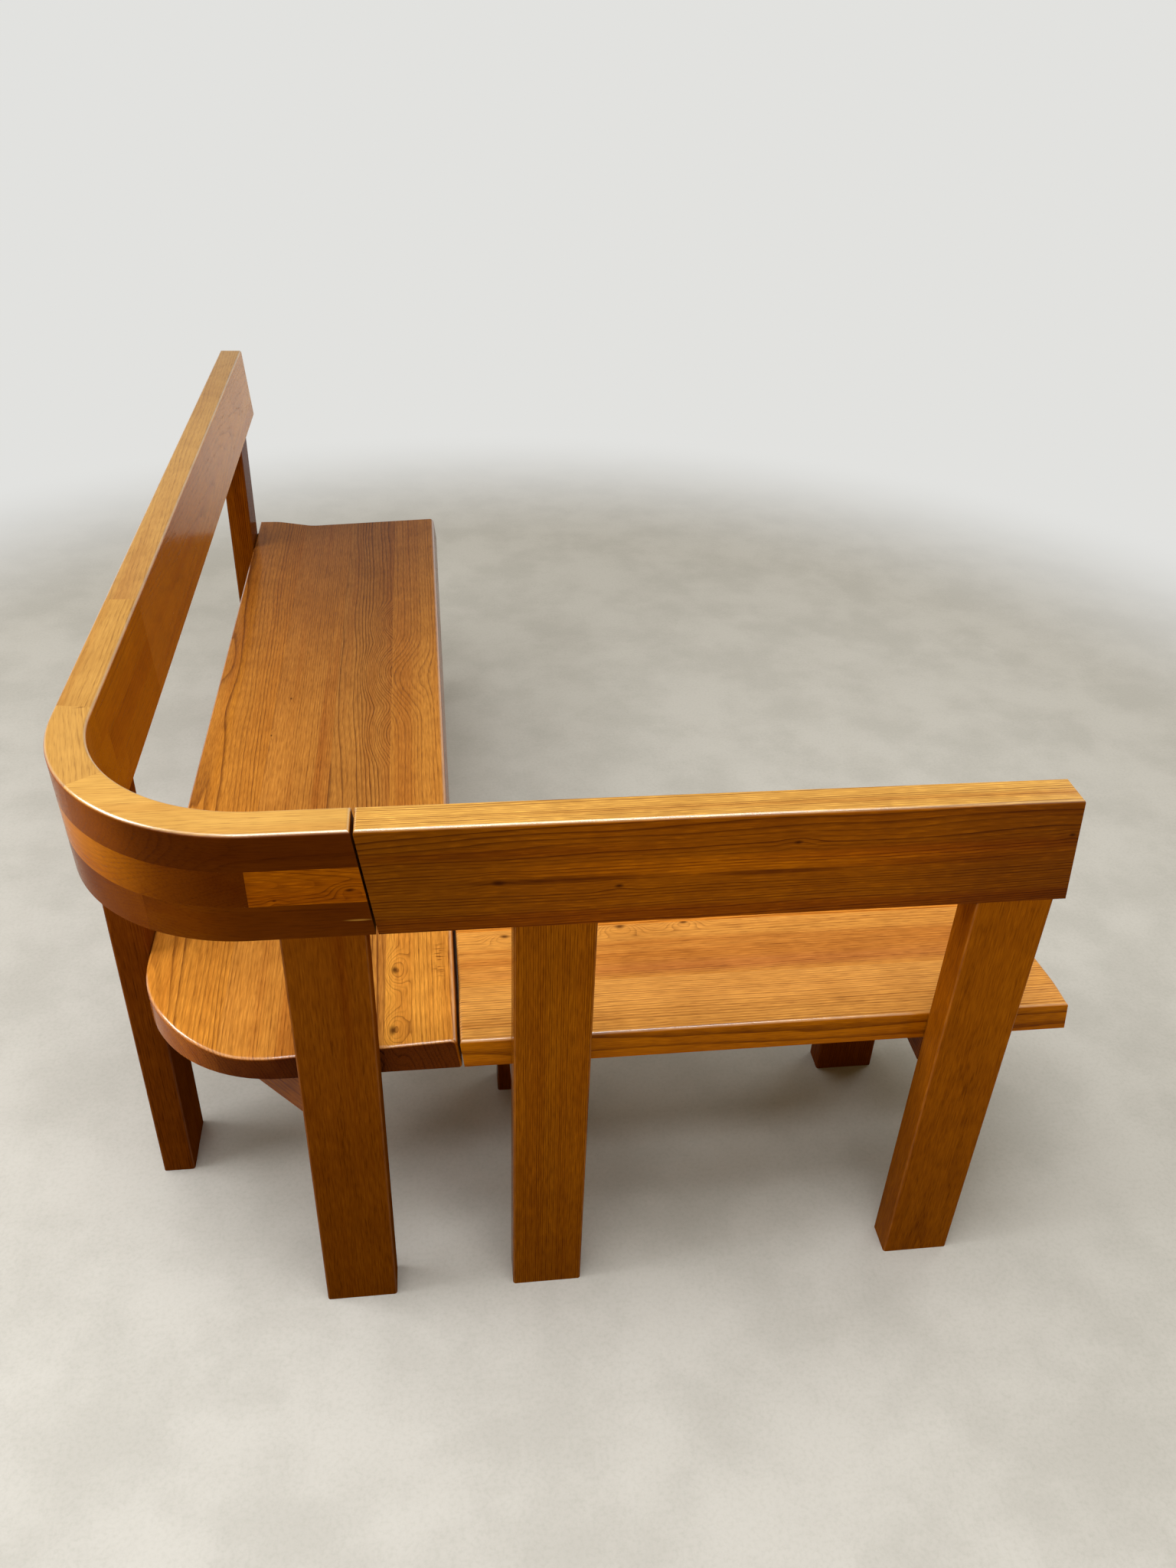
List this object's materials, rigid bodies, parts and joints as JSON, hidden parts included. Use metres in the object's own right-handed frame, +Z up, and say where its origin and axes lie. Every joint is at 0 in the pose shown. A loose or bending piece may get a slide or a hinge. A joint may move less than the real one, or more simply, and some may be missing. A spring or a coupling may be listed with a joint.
{
  "type": "corner bench",
  "caption": "Free-standing wooden corner bench in an L: a long and a short dished seat on broad legs, with a low leaning back that turns the corner in a stacked curve.",
  "frame": {"origin": "middle of the rectangle that the bench covers, at floor level", "axes": "+Z is up; the long seat runs along +Y; the short seat runs along +X from the long seat's near end"},
  "size_m": [1.3035, 1.9257, 0.83],
  "materials": {
    "seat_wood": "satin varnish",
    "back_wood": "satin varnish",
    "leg_wood": "satin varnish",
    "dowel_wood": "raw",
    "screw_steel": "zinc plated"
  },
  "bodies": {
    "long_bench": {"corner_leg": "leg_wood", "end_leg": "leg_wood", "long_far_back_leg": "leg_wood", "long_far_front_leg": "leg_wood", "long_far_bearer": "leg_wood", "diagonal_bearer": "leg_wood", "long_back_board": "back_wood", "corner_bottom_straight": "back_wood", "corner_bottom_arc": "back_wood", "corner_bottom_end": "back_wood", "corner_middle_straight": "back_wood", "corner_middle_arc": "back_wood", "corner_middle_end": "back_wood", "corner_top_straight": "back_wood", "corner_top_arc": "back_wood", "corner_top_end": "back_wood", "long_seat_rear_board": "seat_wood", "long_seat_inner_board": "seat_wood", "long_seat_middle_board": "seat_wood", "long_seat_front_board": "seat_wood", "long_leg_dowels": "dowel_wood", "diagonal_bearer_dowels": "dowel_wood", "long_back_dowels": "dowel_wood", "long_seat_screws": "screw_steel"},
    "short_bench": {"short_near_back_leg": "leg_wood", "short_near_front_leg": "leg_wood", "short_near_bearer": "leg_wood", "short_outer_back_leg": "leg_wood", "short_outer_front_leg": "leg_wood", "short_outer_bearer": "leg_wood", "short_back_board": "back_wood", "short_seat_rear_board": "seat_wood", "short_seat_inner_board": "seat_wood", "short_seat_middle_board": "seat_wood", "short_seat_front_board": "seat_wood", "short_leg_dowels": "dowel_wood", "short_seat_screws": "screw_steel"}
  },
  "joints": [
    {"name": "short_bench_slide", "type": "slide", "parent": "long_bench", "child": "short_bench", "axis": [1, 0, 0], "range_m": [0, 0.3]}
  ]
}
